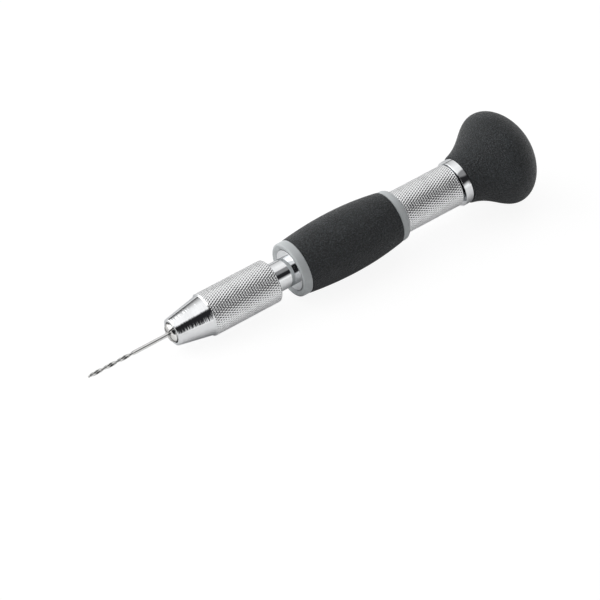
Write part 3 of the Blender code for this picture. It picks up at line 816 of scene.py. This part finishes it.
# Swivel collar: turned, polished and chromed ring, pressed onto the palm head's core. It leans with the head,
# so a dark wedge shows between it and the tube. Lengths are from the pivot, along the head's own axis.
collar_outline = rounded(
    (-1.2, 3.715),
    (-1.2, 6.1, 0.12),
    (1.0, 6.1, 0.12),
    (1.0, 4.661),
    (-0.5, 4.661),
    (-0.5, 3.715),
)
swivel = next(joint for joint in frame["joints"] if joint["name"] == "palm_swivel")
head_lean = Vector((1, 0, 0)).rotation_difference(Vector(swivel["axis"]))
head_place = Matrix.Translation(swivel["pos_m"]) @ head_lean.to_matrix().to_4x4()
bm = bmesh.new()
spun(bm, collar_outline, start=0.0)
collar_chrome = chrome("collar chrome", spacing=0.0003, depth=0.0000006, polish=0.045)
collar = finished("bright_collar", bm, collar_chrome)
collar.matrix_world = head_place
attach(collar, "palm")
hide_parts("swivel_collar")

# Inside of the swivel: a ground steel pin pressed into the tube, a thin black nylon slip washer, a loose
# white acetal bush, a blackened spring clip in the pin's groove and the palm head's hard black core.
pin_steel = steel(
    "pin steel",
    dark=(0.46, 0.46, 0.46),
    light=(0.66, 0.66, 0.65),
    spacing=0.0001,
    depth=0.0000008,
    rough=0.36,
    shine=0.22,
)
clip_steel = steel(
    "blackened clip steel",
    dark=(0.09, 0.09, 0.095),
    light=(0.20, 0.20, 0.21),
    spacing=0.0002,
    depth=0.000001,
    rough=0.5,
    shine=0.32,
)
nylon_dark = (0.02, 0.02, 0.021)
nylon_light = (0.04, 0.04, 0.042)
washer_nylon = satin_plastic("washer nylon", nylon_dark, nylon_light, grain=0.0002, depth=0.000004)
acetal_dark = (0.66, 0.65, 0.61)
acetal_light = (0.76, 0.75, 0.71)
bush_acetal = satin_plastic("bush acetal", acetal_dark, acetal_light, grain=0.0003, depth=0.000004)
core_dark = (0.05, 0.05, 0.053)
core_light = (0.09, 0.09, 0.095)
core_plastic = satin_plastic("palm core plastic", core_dark, core_light, grain=0.0003, depth=0.000008)
frame["nodes"]["pivot_pin"].material_slots[0].material = pin_steel
frame["nodes"]["retaining_ring"].material_slots[0].material = clip_steel
frame["nodes"]["spacer_washer"].material_slots[0].material = washer_nylon
frame["nodes"]["swivel_bush"].material_slots[0].material = bush_acetal
frame["nodes"]["palm_core"].material_slots[0].material = core_plastic

# Palm head: the same charcoal rubber, moulded over its core as a mushroom with a slim neck and a broad dome.
# It turns freely on the pin and leans by its play. Its lengths are counted as the collar's are.
palm_neck = Vector((1.08, 6.461))
palm_rim = Vector((12.9, 12.48))
palm_pole = Vector((21.3, 0))
palm_neck_slope = math.radians(13)
palm_neck_pull = 6.33
palm_rim_front_pull = 3.76
palm_rim_rear_pull = 4.64
palm_pole_pull = 5.95
palm_skin = 1.8
palm_inside_least = 0.01
palm_neck_edge = 0.4
palm_steps = 26
palm_sides = 160


def palm_curve(steps):
    """The head's outside, from the neck over the rim to the pole."""
    neck_way = Vector((math.cos(palm_neck_slope), math.sin(palm_neck_slope)))
    neck_handle = palm_neck + palm_neck_pull * neck_way
    rim_front_handle = palm_rim - Vector((palm_rim_front_pull, 0))
    rim_rear_handle = palm_rim + Vector((palm_rim_rear_pull, 0))
    pole_handle = palm_pole + Vector((0, palm_pole_pull))
    flare = interpolate_bezier(palm_neck, neck_handle, rim_front_handle, palm_rim, steps)
    dome = interpolate_bezier(palm_rim, rim_rear_handle, pole_handle, palm_pole, steps)
    return [point.to_2d() for point in flare + dome[1:]]


outside = palm_curve(palm_steps)
inside = []
for before, here, after in zip(outside, outside[1:], outside[2:]):
    run = (after - before).normalized()
    inside.append(here + palm_skin * Vector((run.y, -run.x)))
inside[-1].y = max(inside[-1].y, palm_inside_least)
neck_face = rounded(
    (palm_neck.x, palm_neck.y - palm_skin),
    (palm_neck.x, palm_neck.y, palm_neck_edge),
    tuple(outside[1]),
    steps=small_round_steps,
)
palm_outline = [(palm_pole.x - palm_skin, 0)]
palm_outline += [tuple(point) for point in reversed(inside)]
palm_outline += neck_face
palm_outline += [tuple(point) for point in outside[2:-1]]
palm_outline.append((palm_pole.x, 0))
bm = bmesh.new()
spun(bm, palm_outline, sides=palm_sides, start=0.0, closed=False)
palm_rubber = charcoal_rubber("palm rubber")
palm = finished("rubber_palm_head", bm, palm_rubber)
palm.matrix_world = head_place
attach(palm, "palm")
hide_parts("palm_skin")

# Floor: matte white table top under the lying tool, which rests on the edge of the chuck and the rim of the
# palm head. It shows as white with a faint shadow, and only from above.
floor_radius = 1.5
floor_sides = 64
floor_drop = 0.02 * mm
table_paint = 0.90
table_glow_in_metal = 0.12
table_paint_seen = 0.14
table_glow_seen = 0.91
lowest = {}
for node in frame["nodes"].values():
    for vert in node.data.vertices:
        key = round(vert.co.x / mm, 2)
        lowest[key] = min(lowest.get(key, vert.co.z), vert.co.z)
under = []
for x, z in sorted((key * mm, z) for key, z in lowest.items()):
    while len(under) > 1:
        (x0, z0), (x1, z1) = under[-2:]
        if (x1 - x0) * (z - z0) > (z1 - z0) * (x - x0):
            break
        under.pop()
    under.append((x, z))
floor_span = next(pair for pair in zip(under, under[1:]) if pair[0][0] <= 0 <= pair[1][0])
floor_run = Vector((floor_span[1][0] - floor_span[0][0], 0, floor_span[1][1] - floor_span[0][1]))
floor_up = Vector((-floor_run.z, 0, floor_run.x)).normalized()
floor_spot = Vector((floor_span[0][0], 0, floor_span[0][1])) - floor_drop * floor_up
bm = bmesh.new()
bmesh.ops.create_circle(bm, cap_ends=True, segments=floor_sides, radius=floor_radius)
floor_paint, tree, shader = bare_material("white table top", metallic=0.0)
tree.nodes.remove(shader)
light = put(tree, "LightPath").outputs


def table_white(paint, glow):
    """White paint with a share of its own light, which keeps shadows on it faint."""
    matte = put(tree, "BsdfDiffuse", {"Color": (paint, paint, paint, 1.0)}).outputs[0]
    lit = put(tree, "Emission", {"Color": (1.0, 1.0, 1.0, 1.0), "Strength": glow}).outputs[0]
    return put(tree, "AddShader", {0: matte, 1: lit}).outputs[0]


in_metal = sums(tree, "MAXIMUM", light["Is Glossy Ray"], light["Is Transmission Ray"])
plain_paint = (table_paint, table_paint, table_paint, 1.0)
unseen = put(tree, "BsdfDiffuse", {"Color": plain_paint}).outputs[0]
in_mirror = table_white(table_paint, table_glow_in_metal)
mirrored = put(tree, "MixShader", {0: in_metal, 1: unseen, 2: in_mirror}).outputs[0]
in_view = table_white(table_paint_seen, table_glow_seen)
top = put(tree, "MixShader", {0: light["Is Camera Ray"], 1: mirrored, 2: in_view}).outputs[0]
clear = put(tree, "BsdfTransparent").outputs[0]
below = put(tree, "NewGeometry").outputs["Backfacing"]
one_sided = put(tree, "MixShader", {0: below, 1: top, 2: clear}).outputs[0]
tree.links.new(one_sided, tree.nodes["Material Output"].inputs["Surface"])
floor = finished("table_top", bm, floor_paint)
floor_turn = Vector((0, 0, 1)).rotation_difference(floor_up).to_matrix().to_4x4()
floor.matrix_world = Matrix.Translation(floor_spot) @ floor_turn

# Light: a white tent over the table, bright overhead and behind the tool, above a dark strip. On the camera's
# side it has a dark opening with a folded front edge. The cloth is dark too in front of the palm head and at
# the drill's end, and white at the palm's end and the horizon. A large key panel is high behind the drill.
tent_slant = 0.375
half_turn = 180.0
straight_roof = ((0, 1.0), (6.5, 1.0), (7, 0.02), (21, 0.02), (26, 0.33), (36, 0.58), (50, 1.0), (64, 1.2))
slanting_roof = ((0, 1.0), (6.5, 1.0), (7, 0.25), (14, 0.25), (17, 0.74), (34, 0.86), (64, 1.1), (95, 0.95))
roof_hem = (108.0, 118.0)
roof_hem_slope = 19.0
roof_hem_grey = (0.28, 0.28, 0.285, 1.0)
opening_top = (108.0, 120.0)
opening_slope = -11.0
opening_dark = (0.02, 0.02, 0.022, 1.0)
front_hem = (156.0, 180.0)
front_hem_slope = 8.0
front_white = (1.1, 1.1, 1.1, 1.0)
fold_stops = ((0.35, 0.5), (0.43, 0.0), (0.57, 1.0), (0.65, 0.5))
fold_height = 20.0
palm_side_start = (0.40, 0.52)
palm_side_top = (74.0, 90.0)
palm_side_foot = (164.0, 182.0)
drill_end_start = (0.84, 0.92)
drill_end_foot = (0.105, 0.13)
cloth_dark = (0.03, 0.03, 0.032, 1.0)
end_wall_start = (0.90, 0.98)
horizon_start = (171.5, 176.0)
cloth_white = (1.0, 1.0, 1.0, 1.0)
tent = bpy.data.worlds.new("light tent")
tent.use_nodes = True
bpy.context.scene.world = tent
tree = tent.node_tree
way = put(tree, "SeparateXYZ", {0: put(tree, "TexCoord").outputs["Generated"]}).outputs
climb = sums(tree, "DEGREES", sums(tree, "ARCTAN2", way["Z"], way["Y"]))
climb_share = sums(tree, "DIVIDE", climb, half_turn)
slant = sums(tree, "DIVIDE", way["X"], tent_slant)
aside = put(tree, "Clamp", {"Value": slant, "Min": -1.0, "Max": 1.0}).outputs[0]


def grey_line(stops):
    """A ramp of greys over the tent, from the horizon behind the tool to the one in front."""
    return tinted(tree, climb_share, *((angle / half_turn, grey, grey, grey) for angle, grey in stops))


def sloped(slope):
    """The climb over the tent, tilted by slope degrees: up at the palm's end and down at the drill's."""
    return sums(tree, "MULTIPLY_ADD", aside, slope, climb)


def fading(value, edge):
    """A soft edge across the tent: 0 before its first value, 1 after its second."""
    start, end = edge
    limits = {"Value": value, "From Min": start, "From Max": end}
    return put(tree, "MapRange", limits, interpolation_type="SMOOTHSTEP").outputs[0]


def mixed(factor, one, other):
    """One colour, and another where the factor is 1."""
    return put(tree, "Mix", {0: factor, 6: one, 7: other}, data_type="RGBA").outputs[2]


roof = mixed(aside, grey_line(straight_roof), grey_line(slanting_roof))
covered = mixed(fading(sloped(roof_hem_slope), roof_hem), roof, roof_hem_grey)
opened = mixed(fading(sloped(opening_slope), opening_top), covered, opening_dark)
fold_share = sums(tree, "MULTIPLY_ADD", aside, 0.5, 0.5)
fold_line = tinted(tree, fold_share, *((place, lift, lift, lift) for place, lift in fold_stops))
fold = between(tree, fold_line, -fold_height, fold_height)
front_edge = sums(tree, "ADD", fold, sloped(front_hem_slope))
closed = mixed(fading(front_edge, front_hem), opened, front_white)
palm_side = sums(tree, "MULTIPLY", fading(way["X"], palm_side_start), fading(climb, palm_side_top))
above_foot = sums(tree, "SUBTRACT", 1.0, fading(climb, palm_side_foot))
shaded = mixed(sums(tree, "MULTIPLY", palm_side, above_foot), closed, cloth_dark)
walled = mixed(fading(sums(tree, "ABSOLUTE", way["X"]), end_wall_start), shaded, cloth_white)
drill_way = sums(tree, "MULTIPLY", way["X"], -1.0)
drill_end = sums(tree, "MULTIPLY", fading(drill_way, drill_end_start), fading(way["Z"], drill_end_foot))
fronted = mixed(drill_end, walled, cloth_dark)
tent_cloth = mixed(fading(climb, horizon_start), fronted, cloth_white)
tree.links.new(tent_cloth, tree.nodes["Background"].inputs["Color"])
key_way = Vector((-0.62, 0.62, 0.48)).normalized()
key_distance = 0.9
key = bpy.data.lights.new("key panel", "AREA")
key.shape = "DISK"
key.size = 1.1
key.energy = 5.2
key_lamp = bpy.data.objects.new("key_panel", key)
key_turn = key_way.to_track_quat("Z", "Y").to_matrix().to_4x4()
key_lamp.matrix_world = Matrix.Translation(key_distance * key_way) @ key_turn
bpy.context.scene.collection.objects.link(key_lamp)

# Camera: a long lens, high in front of the tool on the drill's side and level with the table. Its place and
# its aim put the tool where the photograph shows it.
eye = Vector((-0.2785, -0.4092, 0.4540))
aim = Vector((-0.0310, -0.0053, -0.0054))
lens = bpy.data.cameras.new("long lens")
lens.sensor_width = 36.0
lens.lens = 163.8
lens.clip_start = 0.01
lens.clip_end = 20.0
camera = bpy.data.objects.new("camera", lens)
back = (eye - aim).normalized()
level = Vector((0.0775, 0.0, 0.997))
across = level.cross(back).normalized()
view_turn = Matrix((across, back.cross(across), back)).transposed().to_4x4()
camera.matrix_world = Matrix.Translation(eye) @ view_turn
bpy.context.scene.collection.objects.link(camera)
bpy.context.scene.camera = camera
bpy.context.scene.view_settings.view_transform = "Standard"
